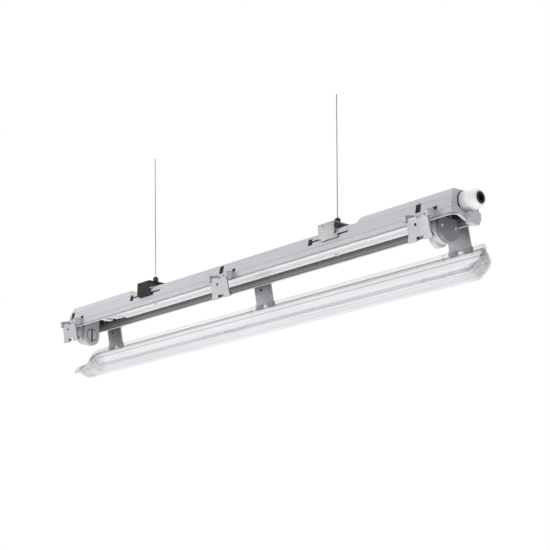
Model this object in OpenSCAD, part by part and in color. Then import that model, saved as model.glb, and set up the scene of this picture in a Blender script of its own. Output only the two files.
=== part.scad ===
// Slim weatherproof lamp housing for one straight tube, hung level on two thin steel wires.
// X runs along the housing towards the cable gland, -Y is the side with the loose clips, +Z is up.
// The origin is midway between the two wires, level with the tops of the wire grippers.

/* [Housing] */
// Length of the housing between its two end walls
body_len = 648; // [560:4:900]
// How far the middle of the housing lies towards the gland from the middle clip
body_shift = 11; // [0:1:16]
// Half the width over the flange at the seam
flange_half = 23.5; // [22:0.5:28]
// Height of the flange
flange_h = 2; // [1.5:0.5:3]
// Half the width of the skirt just above the flange
skirt_half = 22.3; // [21:0.1:23]
// Height of the upright skirt
skirt_h = 7; // [5:1:9]
// Half the width at the top of the side walls
top_half = 18; // [17:0.5:19]
// Height of the raised ends above the seam
high_top = 27.5; // [26:0.5:34]
// How much lower the middle run is than the raised ends
step_drop = 4.5; // [2:0.5:5]
// Length of each raised end
block_len = 123; // [80:1:125]
// Wall thickness of the housing
wall = 2.2; // [2:0.1:2.6]
// How far the rim reaches past the end wall away from the gland
rim_out_left = 12; // [10:1:16]
// How far the rim reaches past the end wall under the gland
rim_out_right = 5; // [5:0.5:8]
// How far the seam dips at the middle of each end
seam_dip = 4.6; // [2:0.2:5]
// Radius of the rounded top edges
edge_r = 2.5; // [1:0.5:3]

/* [Cover] */
// Radius of the round bottom of the cover
cover_r = 16.2; // [15.8:0.1:17]
// Depth of the centre of that round bottom below the seam
cover_centre = 9.2; // [8.8:0.2:11]
// Thickness of the clear wall
cover_wall = 1.5; // [1:0.1:2]
// Half the width over the cover flange
cover_flange_half = 24; // [23.5:0.5:25]
// Thickness of the cover flange
cover_flange_t = 2.7; // [2:0.1:3]
// Angle at which the open cover hangs
cover_tilt = 43; // [20:1:60]

/* [Clips] */
// How far the outer near clips lie in from the ends of the housing's length
near_inset = 22.5; // [20:0.5:60]
// How far the near middle clip lies from the origin, away from the gland
near_shift = 2; // [0:0.5:8]
// How far the outer far clips lie in from the ends of the housing's length
far_inset = 30.5; // [20:0.5:60]
// How far the far middle clip lies from the origin, towards the gland
far_shift = 6; // [0:0.5:8]
// Width of a clip
clip_w = 28; // [26:1:34]
// Thickness of the clip plate
clip_t = 1.8; // [1.4:0.1:2]
// Height of a far clip's plate above its bead
clip_rise = 24.2; // [22:0.2:28]
// How far an open far clip lies below its closed place
clip_travel = 18; // [12:1:20]
// How far an open near clip lies below its closed place
near_travel = 12.5; // [10:0.5:18]
// Lean of the far clips, bottom outwards
clip_lean = 10; // [4:1:12]
// Lean of the near clips, bottom inwards
near_lean = 11; // [4:1:12]
// Radius of the bead on the cover that lies in the hooks
bead_r = 1.5; // [1.2:0.1:1.6]

/* [Lamp and tray] */
// How much shorter than the housing the gap between the lampholders is, at each end
holder_inset = 28; // [28:1:40]
// How far the middle of the lamp lies from the middle clip, away from the gland
lamp_shift = 0; // [0:0.5:4]
// Depth of the lamp axis below the seam
lamp_depth = 8.5; // [8:0.1:9]
// Radius of the turning rotor of a lampholder
rotor_r = 7.3; // [6.5:0.1:8]
// Half the width of the flat underside of the tray
tray_half = 11.5; // [10:0.5:12.5]
// Height of the underside of the tray above the seam
tray_z = 4.9; // [4.8:0.1:6]
// Thickness of the tray sheet
tray_t = 0.8; // [0.6:0.1:1]

/* [Suspension] */
// How far each wire hangs in from the end of the housing's length
wire_inset = 164; // [160:1:200]
// Height of the top of each bracket above the seam
bracket_top = 31; // [30:0.5:36]
// Width of a bracket along the housing
bracket_w = 24; // [18:1:26]
// How far each bracket's middle lies from its wire, towards the gland
bracket_shift = 4.5; // [0:0.5:6]
// Half the width over the legs of a bracket
bracket_half = 22.6; // [22.4:0.1:24]
// Thickness of the bracket steel
bracket_t = 1.2; // [0.8:0.1:1.2]
// Radius of a wire gripper
gripper_r = 3.4; // [3:0.1:4.5]
// Height of a gripper body above its bracket
gripper_h = 9.5; // [9:0.5:16]
// How far the release plunger stands out of the gripper
plunger_out = 1.2; // [1.2:0.1:3]
// Diameter of a hanging wire
wire_d = 1.2; // [1:0.1:1.6]

/* [Gland] */
// Radius of the gland thread
thread_r = 8; // [7:0.5:8]
// Radius of the dome nut
dome_r = 10.4; // [10.2:0.1:11]
// Height of the gland axis above the seam
gland_z = 16.2; // [15.8:0.1:17]
// Radius of the cable hole in the seal
cable_r = 3.5; // [2.5:0.25:4.5]

/* [Hidden] */
$fn = 48;

// Height of the gripper tops above the seam: the origin's height
hang_h = bracket_top + gripper_h + plunger_out;
// Overrun of cuts
over = 1;
// Clearance between parts that move past each other
gap = 0.3;
// Clearance between fixed parts
fixed_gap = 0.1;

// Ends of the housing, of its rim, and of the raised ends
body_l = body_shift - body_len / 2;
body_r = body_shift + body_len / 2;
rim_l = body_l - rim_out_left;
rim_r = body_r + rim_out_right;
low_top = high_top - step_drop;
step_ramp = 5;
block_l = body_l + block_len;
block_r = body_r - block_len;
// Heights and smoothness of the flared ends
flare_left = 22;
flare_right = 8;
flare_steps = 10;
corner_r = 9;
seam_half = 17;
// Small step over the skirt, and the crease below the tops of the side walls
ledge = 0.5;
crease_h = 20;
crease_half = 19.1;
ledge_half = skirt_half - ledge;
seam_steps = 12;
rim_inset = 3.5;
scoop_play = 0.8;
// Gasket groove
groove_out = 1.1;
groove_w = 1.8;
groove_h = 1.2;
gasket_proud = 0.15;
// Tongue in the middle of each end
tongue_half = 7;
tongue_left = 4;
tongue_right = 6.5;
tongue_up = 2.6;
tongue_down = 8.5;
tongue_root = 6;
tongue_gap = 0.4;

// Bead centre of a closed cover, and how far it lies below the seam
bead_out = 3;
bead_y = cover_flange_half + bead_out;
bead_z = bead_r;
bead_len = clip_w - 2 * gap;
web_t = 1.2;
seat_gap = 0.4;
// Clip plate, measured from the bead centre
plate_in = bead_r + seat_gap;
plate_out = plate_in + clip_t;
tail = 5.3;
clip_foot_w = 9.5;
clip_flare = 1.4;
clip_flare_low = -2;
clip_flare_high = 2.5;
clip_hole_r = 1.6;
clip_hole_x = -3;
clip_hole_drop = 7.5;
hook_lip = 0.7;
loop_r = 2.7;
loop_hole_r = 1.4;
loop_x = 10.6;
ear_w = 7;
ear_h = 2;
ear_x = 0;
lip_x = 4;
lip_t = 1.2;
lip_h = 1.6;
// Rails that hold the edges of a clip plate
rail_low = 3;
rail_high = 10.5;
rail_in = 8.4;
rail_t = 1;
rail_w = 2.2;
// Windows in the side walls over each clip
window_w = 7;
window_x = -7.5;
window_low = 11.5;
window_high = 21;
notch_w = 6;
notch_x = 15;
notch_low = 9;
notch_high = 13;
window_depth = 1.3;
score_w = 0.8;
score_depth = 0.5;

// Slot for the bracket tongues, and the rib over it
slot_half = 30;
slot_low = 14.5;
slot_high = 16.5;
slot_depth = 1.4;
rib_high = 18;
rib_out = 0.6;
pocket_w = 7;
pocket_low = 12;
pocket_high = 19.5;
slot_play = 0.4;
leg_low = slot_low + slot_play;
tongue_t = 1.2;
tab_low = 12;
tab_back = 8;
tab_ahead = 17;
stud_r = 2.5;
stud_len = 4.6;
nut_r = 4.4;
nut_h = 2.6;
sight_r = 0.9;
sight_drop = 2.5;
gripper_bore_r = 0.9;
plunger_r = 2;
plunger_in = 2;
plunger_well = 4;
gripper_foot_h = 1.6;
gripper_foot_out = 0.5;
gripper_foot_r = gripper_r + gripper_foot_out;

// Place of a bracket along the housing
function bracket_x(s) = s * wire_pitch / 2 + bracket_shift;
// Place of a clip along the housing, and the distance between the faces of the lampholders
function clip_x(i, side) = side > 0 ? far_shift + i * (body_len / 2 - far_inset) :
  i * (body_len / 2 - near_inset) - near_shift;
lamp_gap = body_len - 2 * holder_inset;
// Distance between the two wires
wire_pitch = body_len - 2 * wire_inset;

// Cover ends
cover_end_r = 12;
cover_lead = 1.5;
cover_taper_z = 3;
cover_neck_half = 21.3;
tick_t = 0.8;
tick_out = 0.5;
tick_len = 3.4;

// Lampholders, measured from the rotor axis on the face
face_l = -lamp_shift - lamp_gap / 2;
face_r = -lamp_shift + lamp_gap / 2;
front_half = 11.3;
front_drop = 2.5;
front_t = 6;
shell_r = 16;
shell_t = 7;
shell_rise = 4.5;
shell_wall = 1.6;
back_r = 14.8;
back_t = 4.3;
back_top = 14;
rivet_r = 1.3;
rivet_pitch = 20;
rivet_proud = 0.7;
rotor_len = 8;
rotor_proud = 0.4;
rotor_ring_w = 1;
rotor_ring_depth = 2;
pin_slot_w = 2.6;
pin_slot_depth = 5;
entry_low = 10.4;
entry_depth = 1;
contact_t = 0.6;
contact_w = 5.6;
contact_h = 9;
contact_y = 4.6;
neck_half = 10;

// Tray, its screws and the terminal block
tray_gap_l = 62.5;
tray_gap_r = 7.5;
tray_l = face_l + tray_gap_l;
tray_r = face_r - tray_gap_r;
tray_top = 15;
tray_margin = 2.4;
tray_top_half = side_y(tray_top) - wall - tray_margin;
screw_x = 150;
screw_y = 7.4;
screw_r = 1.5;
screw_len = 9;
screw_head_r = 2.6;
screw_head_h = 1.2;
boss_r = 3.4;
block_gap = 46;
block_x = face_l + block_gap;
block_len_x = 13.5;
block_half = 11;
block_low = 5;
block_high = 16;
block_boss_half = 5;
block_boss_in = 4;
clamp_gap = 30;
clamp_len = 7;
clamp_half = 7;
clamp_post_in = 3;
clamp_low = 5.2;
clamp_high = 8.6;
clamp_x = face_l + clamp_gap;
pole_pitch = 5;
pole_r = 1.6;
pole_depth = 6;
lead_r = 0.8;
lead_y = 1.6;
lead_z = 12;

// Gland, measured along its axis from the end wall
washer_t = 1;
washer_r = 11.4;
collar_t = 1.6;
collar_r = 10.8;
neck_r = 8.5;
gland_neck_len = 9.5;
neck_gap = 0.6;
gland_bore_r = 5.8;
gland_in = 11;
locknut_t = 3.4;
locknut_r = 9;
dome_gap = 0.5;
dome_start = washer_t + collar_t + dome_gap;
dome_straight = 8.5;
dome_len = 16.5;
seal_r = gland_bore_r;
mouth_play = 0.4;
mouth_r = seal_r + mouth_play;
dome_nose_r = 7.2;
seal_start = 6;
seal_proud = 0.6;

// Routes of the two hanging wires, from inside the grippers to their upper ends
wire_in = 14.2;
wire_up_left = 155.8;
wire_up_right = 140.8;
wire_lean_left = 3;
wire_lean_right = 4;
wire_left_path = [[-wire_pitch / 2, 0, -wire_in], [-wire_pitch / 2, 0, 0],
  [-wire_pitch / 2 - wire_lean_left, 0, wire_up_left]];
wire_right_path = [[wire_pitch / 2, 0, -wire_in], [wire_pitch / 2, 0, 0],
  [wire_pitch / 2 + wire_lean_right, 0, wire_up_right]];
wire_ring = 4.6;
// Routes of the leads between the terminal block and the lampholders, from the seam's height
lead_run = 4;
lead_bend = 12;
lead_side = 1;
lead_low = 10;
function lead_path(a, b, s, side) = [[a, 0, lead_z], [a + s * lead_run, 0, lead_z],
  [a + s * (lead_run + lead_bend), side, lead_low], [b - s * (lead_run + lead_bend), side, lead_low],
  [b - s * lead_run, 0, lead_z], [b, 0, lead_z]];
lead_left_path = lead_path(block_x, face_l, -1, lead_side);
lead_right_path = lead_path(block_x + block_len_x, face_r, 1, 0);

// Lifts what is drawn from the seam's height to the finished part's frame
module at_seam() { translate([0, 0, -hang_h]) children(); }

// Extrudes an outline of Y and Z along X
module along_x(x0, x1) {
  translate([x0, 0, 0]) rotate([90, 0, 90]) linear_extrude(height = x1 - x0) children();
}

// Extrudes an outline of X and Z across Y
module across_y(half) {
  translate([0, half, 0]) rotate([90, 0, 0]) linear_extrude(height = 2 * half) children();
}

// A box between two corners
module block(low, high) {
  translate(low) cube(high - low);
}

// Half width over the side walls at a height above the seam
function side_y(z) = z < skirt_h + ledge ? skirt_half :
  z < crease_h ? ledge_half + (z - skirt_h - ledge) * (crease_half - ledge_half) / (crease_h - skirt_h - ledge) :
  crease_half - (z - crease_h) * (crease_half - top_half) / (high_top - crease_h);

// Height of the seam across the ends
function seam(y) = abs(y) < seam_half ? -seam_dip * (1 + cos(180 * y / seam_half)) / 2 : 0;

function seam_line(half, lift) = concat([[-half, lift]],
  [for (i = [-seam_steps:seam_steps]) let (y = i * seam_half / seam_steps) [y, seam(y) + lift]],
  [[half, lift]]);

function backwards(list) = [for (i = [len(list) - 1:-1:0]) list[i]];

// A strip of Y and Z that follows the seam
module seam_band(half, low, high) {
  polygon(concat(seam_line(half, low), backwards(seam_line(half, high))));
}

// Rounded rectangle in plan
module plan(x0, x1, half, r) {
  translate([x0 + r, -half]) square([x1 - x0 - 2 * r, 2 * half]);
  translate([x0, r - half]) square([x1 - x0, 2 * half - 2 * r]);
  for (x = [x0 + r, x1 - r], y = [r - half, half - r]) translate([x, y]) circle(r);
}

module plan_prism(inset, half, low, high) {
  translate([0, 0, low]) linear_extrude(height = high - low)
    plan(rim_l + inset, rim_r - inset, half, corner_r - inset);
}

// Rounded corner of a wall's top, as points
function top_corner(top, inset, r) = [for (a = [0:22.5:90])
  [side_y(top) - inset - r + r * cos(a), top - inset - r + r * sin(a)]];

function half_section(top, inset, r, low) = concat(
  [[skirt_half - inset, low], [skirt_half - inset, skirt_h],
  [ledge_half - inset, skirt_h + ledge], [crease_half - inset, crease_h]], top_corner(top, inset, r));

function mirrored(points) = backwards([for (p = points) [-p[0], p[1]]]);

// Section of the housing from below the seam to its top
module section(top, inset, r) {
  half = half_section(top, inset, r, -seam_dip - over);
  polygon(concat(half, mirrored(half)));
}

// Flared end, from the end wall out to the rim
function flare(x, out, rise, inset) = [for (i = [0:flare_steps]) let (t = i / flare_steps)
  [x + out * t, flange_h - inset + rise * (1 + cos(180 * t)) / 2]];

// Side view of the housing, in X and Z
module side_view(inset) {
  right = flare(body_r - inset, rim_out_right, flare_right, inset);
  left = backwards([for (p = flare(-body_l - inset, rim_out_left, flare_left, inset)) [-p[0], p[1]]]);
  top = high_top - inset;
  low = low_top - inset;
  polygon(concat(
    [[rim_l + inset, -seam_dip - over]], left,
    [[body_l + inset, top], [block_l - inset, top], [block_l + step_ramp - inset, low],
      [block_r - step_ramp + inset, low], [block_r + inset, top], [body_r - inset, top]],
    right, [[rim_r - inset, -seam_dip - over]]));
}

// Room for the gland over the flared end
module scoop(x, r) {
  translate([x, 0, gland_z]) rotate([0, 90, 0]) cylinder(h = 3 * rim_out_right, r = r);
}

// Body of the housing, drawn in by a wall for its hollow
module housing_form(inset, edge) {
  intersection() {
    plan_prism(edge, flange_half - edge, -seam_dip - 2 * over, high_top + over);
    across_y(flange_half + over) side_view(inset);
    union() {
      along_x(rim_l - over, block_l + step_ramp) section(high_top, inset, edge_r - inset / 2);
      along_x(block_l + step_ramp - inset, block_r - step_ramp + inset)
        section(low_top, inset, edge_r - inset / 2);
      along_x(block_r - step_ramp, rim_r + over) section(high_top, inset, edge_r - inset / 2);
    }
  }
}

module flange_ring(half, inset, width, low, high) {
  intersection() {
    difference() {
      plan_prism(inset, half, -seam_dip - over, high_top);
      plan_prism(inset + width, half - width, -seam_dip - 2 * over, high_top + over);
    }
    along_x(rim_l - over, rim_r + over) seam_band(flange_half + over, low, high);
  }
}

// Places a clip's own frame: origin on the bead centre, +Z up along the slide, -Y outwards
module at_bead(x, side, down) {
  mirror([0, side > 0 ? 1 : 0, 0]) translate([x, -bead_y, -bead_z])
    rotate([side > 0 ? -clip_lean : near_lean, 0, 0]) translate([0, 0, -down]) children();
}

module clip_rails() {
  outer = plate_out + gap + rail_t;
  for (s = [-1, 1]) {
    difference() {
      block([s > 0 ? clip_w / 2 - rail_t : -clip_w / 2 - rail_w, -outer, rail_low],
        [s > 0 ? clip_w / 2 + rail_w : rail_t - clip_w / 2, rail_in, rail_high]);
      block([s > 0 ? 0 : -clip_w / 2 - gap, -plate_out - gap, rail_low - over],
        [s > 0 ? clip_w / 2 + gap : 0, -plate_in + gap, rail_high + over]);
    }
  }
}

// Shallow cut into one side wall between two heights
module wall_cut(x, w, low, high, depth, side) {
  y = side_y((low + high) / 2) - depth;
  block([x - w / 2, side > 0 ? y : -flange_half - over, low],
    [x + w / 2, side > 0 ? flange_half + over : -y, high]);
}

// The window, notch and score line over one clip
module clip_marks(x, side) {
  wall_cut(x + window_x, window_w, window_low, window_high, window_depth, side);
  wall_cut(x + notch_x, notch_w, notch_low, notch_high, window_depth, side);
  wall_cut(x + window_x, score_w, window_high, high_top, score_depth, side);
}

module slot_rib(x) {
  y = side_y(slot_high);
  for (s = [-1, 1])
    block([x - slot_half, s > 0 ? y - wall / 2 : -y - rib_out, slot_high],
      [x + slot_half, s > 0 ? y + rib_out : wall / 2 - y, rib_high]);
}

module end_tongue(s) {
  rim = s > 0 ? rim_r : -rim_l;
  tip = rim + (s > 0 ? tongue_right : tongue_left);
  mirror([s > 0 ? 0 : 1, 0, 0]) {
    block([rim - tongue_root, -tongue_half, -seam_dip / 2], [tip, tongue_half, tongue_up]);
    block([rim + tongue_gap, -tongue_half, -tongue_down], [tip, tongue_half, tongue_up]);
  }
}

module housing() {
  color([0.76, 0.77, 0.79]) at_seam() {
    difference() {
      union() {
        difference() {
          housing_form(0, 0);
          scoop(body_r, washer_r + scoop_play);
          along_x(rim_l - over, rim_r + over) seam_band(flange_half + over, -seam_dip - 3 * over, 0);
        }
        flange_ring(flange_half, 0, rim_inset, 0, flange_h);
        for (s = [-1, 1]) slot_rib(bracket_x(s));
        for (s = [-1, 1]) end_tongue(s);
        for (i = [-1, 0, 1], side = [-1, 1]) at_bead(clip_x(i, side), side, 0) clip_rails();
      }
      difference() {
        housing_form(wall, rim_inset);
        scoop(body_r - wall, washer_r + scoop_play + wall);
      }
      flange_ring(flange_half - groove_out, groove_out, groove_w, -over, groove_h);
      for (i = [-1, 0, 1], side = [-1, 1]) clip_marks(clip_x(i, side), side);
      for (s = [-1, 1], side = [-1, 1]) {
        wall_cut(bracket_x(s), 2 * slot_half, slot_low, slot_high, slot_depth, side);
        wall_cut(bracket_x(s) - slot_half + pocket_w / 2, pocket_w, pocket_low, pocket_high,
          slot_depth, side);
      }
      translate([body_r - wall - over, 0, gland_z]) rotate([0, 90, 0])
        cylinder(h = wall + 2 * over, r = thread_r + fixed_gap);
    }
    difference() {
      for (s = [-1, 1]) translate([s * screw_x, s * screw_y, tray_z + tray_t])
        cylinder(h = low_top - wall / 2 - tray_z - tray_t, r = boss_r);
      for (s = [-1, 1]) translate([s * screw_x, s * screw_y, tray_z])
        cylinder(h = screw_len + 2 * fixed_gap, r = screw_r + fixed_gap);
    }
    block([block_x + block_boss_in, -block_boss_half, block_high],
      [block_x + block_len_x - block_boss_in, block_boss_half, high_top - wall / 2]);
    block([clamp_x, clamp_half - clamp_post_in, clamp_high],
      [clamp_x + clamp_len, clamp_half, high_top - wall / 2]);
  }
}

module gasket() {
  color([0.88, 0.88, 0.86]) at_seam()
    flange_ring(flange_half - groove_out - fixed_gap, groove_out + fixed_gap,
      groove_w - 2 * fixed_gap, -gasket_proud, groove_h - fixed_gap);
}

// Section of the tray: flat underside, leaning sides
module tray_outline() {
  lean = tray_top_half - tray_half;
  polygon([[-tray_top_half, tray_top], [-tray_half, tray_z], [tray_half, tray_z],
    [tray_top_half, tray_top], [tray_top_half - tray_t, tray_top],
    [tray_half - tray_t + lean * tray_t / (tray_top - tray_z) / 2, tray_z + tray_t],
    [tray_t - tray_half - lean * tray_t / (tray_top - tray_z) / 2, tray_z + tray_t],
    [tray_t - tray_top_half, tray_top]]);
}

module gear_tray() {
  color([0.93, 0.93, 0.91]) at_seam() difference() {
    along_x(tray_l, tray_r) tray_outline();
    for (s = [-1, 1]) translate([s * screw_x, s * screw_y, tray_z - over])
      cylinder(h = tray_t + 2 * over, r = screw_r + fixed_gap);
  }
}

module tray_screws() {
  color([0.7, 0.7, 0.72]) at_seam() for (s = [-1, 1])
    translate([s * screw_x, s * screw_y, tray_z]) {
      cylinder(h = screw_len, r = screw_r);
      difference() {
        translate([0, 0, -screw_head_h]) cylinder(h = screw_head_h, r = screw_head_r);
        for (a = [0, 90]) rotate([0, 0, a])
          block([-screw_r, -screw_r / 4, -screw_head_h - over], [screw_r, screw_r / 4, -screw_head_h / 2]);
      }
    }
}

module terminal_block() {
  mid = block_x + block_len_x / 2;
  color([0.92, 0.92, 0.9]) at_seam() difference() {
    union() {
      block([block_x, -block_half, block_low + pole_r], [block_x + block_len_x, block_half, block_high]);
      for (i = [-1, 0, 1]) translate([block_x, i * pole_pitch, block_low + 2 * pole_r])
        rotate([0, 90, 0]) cylinder(h = block_len_x, r = 2 * pole_r);
    }
    for (i = [-1, 0, 1]) translate([mid, i * pole_pitch, block_low - over])
      cylinder(h = pole_depth + over, r = pole_r);
  }
}

// Pad under the supply wires beside the terminal block
module wire_clamp() {
  color([0.92, 0.92, 0.9]) at_seam()
    block([clamp_x, -clamp_half, clamp_low], [clamp_x + clamp_len, clamp_half, clamp_high]);
}

module terminal_screws() {
  mid = block_x + block_len_x / 2;
  color([0.78, 0.66, 0.36]) at_seam() for (i = [-1, 0, 1])
    translate([mid, i * pole_pitch, block_low + pole_r / 2]) difference() {
      cylinder(h = pole_depth - pole_r / 2, r = pole_r - fixed_gap);
      block([-pole_r, -pole_r / 6, -over], [pole_r, pole_r / 6, pole_r / 2]);
    }
}

// Unit vector along a route at a point, the mean of the runs that meet there
function unit(v) = v / norm(v);
function heading(path, i) = unit(
  (i < len(path) - 1 ? unit(path[i + 1] - path[i]) : [0, 0, 0]) +
  (i > 0 ? unit(path[i] - path[i - 1]) : [0, 0, 0]));
function ring(centre, dir, side, r, n) = let (u = unit(cross(dir, side)), v = cross(dir, u))
  [for (k = [0:n - 1]) centre + r * (cos(360 * k / n) * u + sin(360 * k / n) * v)];

// A tube swept along a route as one polyhedron
module tube(path, side, r, n) {
  rings = len(path);
  points = [for (i = [0:rings - 1]) each ring(path[i], heading(path, i), side, r, n)];
  walls = [for (i = [0:rings - 2], k = [0:n - 1]) let (a = i * n, j = (k + 1) % n) each
    [[a + k, a + n + k, a + n + j], [a + k, a + n + j, a + j]]];
  low = [for (k = [1:n - 2]) [0, k, k + 1]];
  high = [for (k = [1:n - 2]) let (a = (rings - 1) * n) [a, a + k + 1, a + k]];
  polyhedron(points = points, faces = concat(walls, low, high));
}

// Splits each run of a route into short steps
function steps(a, b, size) = let (n = max(1, ceil(norm(b - a) / size)))
  [for (i = [0:n - 1]) a + (b - a) * i / n];
function stepped(path, size) = concat(
  [for (i = [0:len(path) - 2]) each steps(path[i], path[i + 1], size)], [path[len(path) - 1]]);

module lead_pair(path) {
  for (s = [-1, 1])
    translate([0, s * lead_y, 0]) tube(path, [0, 1, 0], lead_r, 8);
}

module leads_left() {
  color([0.35, 0.06, 0.08]) at_seam() lead_pair(lead_left_path);
}

module leads_right() {
  color([0.35, 0.06, 0.08]) at_seam() lead_pair(lead_right_path);
}

// Places a lampholder's own frame: origin on the rotor axis at the face, +X out of the face
module at_holder(s) {
  at_seam() translate([s > 0 ? face_r : face_l, 0, -lamp_depth]) mirror([s > 0 ? 1 : 0, 0, 0]) children();
}

module disc(x0, x1, r, z) {
  translate([x0, 0, z]) rotate([0, 90, 0]) cylinder(h = x1 - x0, r = r);
}

module holder_body(s) {
  roof = lamp_depth + high_top - wall - fixed_gap;
  back = -front_t - shell_t;
  color([0.8, 0.81, 0.82]) at_holder(s) difference() {
    union() {
      disc(-front_t, 0, front_half, -front_drop);
      block([-front_t, -front_half, -front_drop], [0, front_half, shell_rise + shell_r]);
      block([back, -neck_half, shell_rise], [0, neck_half, roof]);
      disc(back, -front_t, shell_r, shell_rise);
    }
    disc(-rotor_len - gap, over, rotor_r + gap, 0);
    disc(-rotor_ring_depth, over, rotor_r + rotor_ring_w, 0);
    disc(back - over, -front_t - shell_wall, shell_r - shell_wall, shell_rise);
    block([-entry_depth, -pin_slot_w / 2, -entry_low], [over, pin_slot_w / 2, 0]);
  }
}

module holder_rotor(s) {
  color([0.82, 0.83, 0.84]) at_holder(s) difference() {
    disc(-rotor_len, rotor_proud, rotor_r, 0);
    block([rotor_proud - pin_slot_depth, -pin_slot_w / 2, -rotor_r - over],
      [rotor_proud + over, pin_slot_w / 2, rotor_r + over]);
  }
}

module holder_contacts(s) {
  x0 = shell_wall - front_t - shell_t - back_t;
  color([0.78, 0.62, 0.3]) at_holder(s) for (side = [-1, 1])
    block([x0, side * contact_y - contact_t / 2, -contact_h / 2],
      [x0 + contact_w, side * contact_y + contact_t / 2, contact_h / 2]);
}

module holder_back(s) {
  x1 = -front_t - shell_t;
  color([0.55, 0.56, 0.6]) at_holder(s) difference() {
    disc(x1 - back_t, x1, back_r, shell_rise);
    disc(x1 - back_t + shell_wall, x1 + over, back_r - shell_wall, shell_rise);
    block([x1 - back_t - over, -back_r, back_top], [x1 + over, back_r, shell_rise + back_r + over]);
    for (y = [-1, 1]) translate([0, y * rivet_pitch / 2, 0])
      disc(x1 - back_t - over, x1, rivet_r / 2 + fixed_gap, shell_rise);
  }
}

module holder_rivets(s) {
  x1 = -front_t - shell_t - back_t;
  color([0.85, 0.85, 0.86]) at_holder(s) for (y = [-1, 1]) translate([0, y * rivet_pitch / 2, 0]) {
    disc(x1 - rivet_proud, x1, rivet_r, shell_rise);
    disc(x1 - over / 2, x1 + back_t - shell_wall, rivet_r / 2, shell_rise);
  }
}

module lampholder_left_body() { holder_body(-1); }
module lampholder_left_rotor() { holder_rotor(-1); }
module lampholder_left_contacts() { holder_contacts(-1); }
module lampholder_left_back() { holder_back(-1); }
module lampholder_left_rivets() { holder_rivets(-1); }
module lampholder_right_body() { holder_body(1); }
module lampholder_right_rotor() { holder_rotor(1); }
module lampholder_right_contacts() { holder_contacts(1); }
module lampholder_right_back() { holder_back(1); }
module lampholder_right_rivets() { holder_rivets(1); }

// Quarter cradle under the bead, in Y and Z
module hook_outline() {
  intersection() {
    difference() {
      circle(plate_out);
      circle(plate_in);
    }
    translate([-plate_out - over, -plate_out - over]) square([plate_out + over + hook_lip, plate_out + over]);
  }
}

// Outline of the clip plate, in X and Z, wider at its feet
module clip_outline(half, foot_z, rise) {
  wide = half + clip_flare;
  polygon([[-wide, foot_z], [wide, foot_z], [wide, clip_flare_low], [half, clip_flare_high],
    [half, rise], [-half, rise], [-half, clip_flare_high], [-wide, clip_flare_low]]);
}

module clip(shade, rise) {
  half = clip_w / 2;
  foot_z = -tail;
  color(shade) {
    difference() {
      union() {
        translate([0, -plate_in, 0]) rotate([90, 0, 0]) linear_extrude(height = clip_t)
          clip_outline(half, foot_z, rise);
        translate([loop_x, -plate_in, rise]) rotate([90, 0, 0]) cylinder(h = clip_t, r = loop_r);
        block([rail_t + gap - half, -plate_in - over / 2, rise - lip_h], [-lip_x, lip_t - plate_in, rise]);
      }
      block([clip_foot_w - half, -plate_out - over, foot_z - over],
        [half - clip_foot_w, -plate_in + over, foot_z + tail - plate_in / 2]);
      block([ear_x, -plate_out - over, rise - ear_h], [ear_x + ear_w, over, rise + over]);
      translate([loop_x, over, rise]) rotate([90, 0, 0])
        cylinder(h = plate_out + 2 * over, r = loop_hole_r);
      translate([clip_hole_x, over, rise - clip_hole_drop]) rotate([90, 0, 0])
        cylinder(h = plate_out + 2 * over, r = clip_hole_r);
    }
    for (x = [-half, half - clip_foot_w])
      along_x(x, x + clip_foot_w) hook_outline();
  }
}

near_shade = [0.8, 0.81, 0.81];
far_shade = [0.55, 0.56, 0.57];
module placed_clip(i, side, shade) {
  down = side > 0 ? clip_travel : near_travel;
  at_seam() at_bead(clip_x(i, side), side, down) clip(shade, clip_rise - clip_travel + down);
}

module near_clip_left() { placed_clip(-1, -1, near_shade); }
module near_clip_middle() { placed_clip(0, -1, near_shade); }
module near_clip_right() { placed_clip(1, -1, near_shade); }
module far_clip_left() { placed_clip(-1, 1, far_shade); }
module far_clip_middle() { placed_clip(0, 1, far_shade); }
module far_clip_right() { placed_clip(1, 1, far_shade); }

// Section of the cover, drawn in by its wall for the hollow
module cover_section(inset) {
  translate([0, -cover_centre]) circle(cover_r - inset);
  neck = cover_neck_half - inset;
  rise = cover_centre - cover_taper_z;
  r = cover_r - inset;
  touch = atan2(rise, neck) - acos(r / norm([neck, rise]));
  y = r * cos(touch);
  z = r * sin(touch) - cover_centre;
  polygon([[-neck, over], [-neck, -cover_taper_z], [-y, z], [y, z], [neck, -cover_taper_z],
    [neck, over]]);
}

// Side view of the cover with rounded lower corners, in X and Z
module cover_side(inset) {
  x0 = rim_l + cover_lead + inset;
  x1 = rim_r - cover_lead - inset;
  low = -cover_centre - cover_r + inset;
  r = cover_end_r - inset;
  translate([x0 + r, low]) square([x1 - x0 - 2 * r, 2 * r]);
  translate([x0, low + r]) square([x1 - x0, over - low - r]);
  for (x = [x0 + r, x1 - r]) translate([x, low + r]) circle(r);
}

module cover_form(inset) {
  intersection() {
    along_x(rim_l - over, rim_r + over) cover_section(inset);
    across_y(cover_flange_half) cover_side(inset);
    plan_prism(cover_lead + inset, cover_neck_half - inset, -cover_centre - cover_r - over, 2 * over);
  }
}

// The cover as it lies when closed
module closed_cover() {
  difference() {
    union() {
      difference() {
        cover_form(0);
        along_x(rim_l - over, rim_r + over)
          seam_band(cover_flange_half, -gap, seam_dip + 4 * over);
      }
      flange_ring(cover_flange_half, 0, cover_flange_half - cover_neck_half + cover_wall,
        -gap - cover_flange_t, -gap);
      for (i = [-1, 0, 1], s = [-1, 1]) cover_seat(clip_x(i, s), s);
    }
    cover_form(cover_wall);
  }
}

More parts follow.
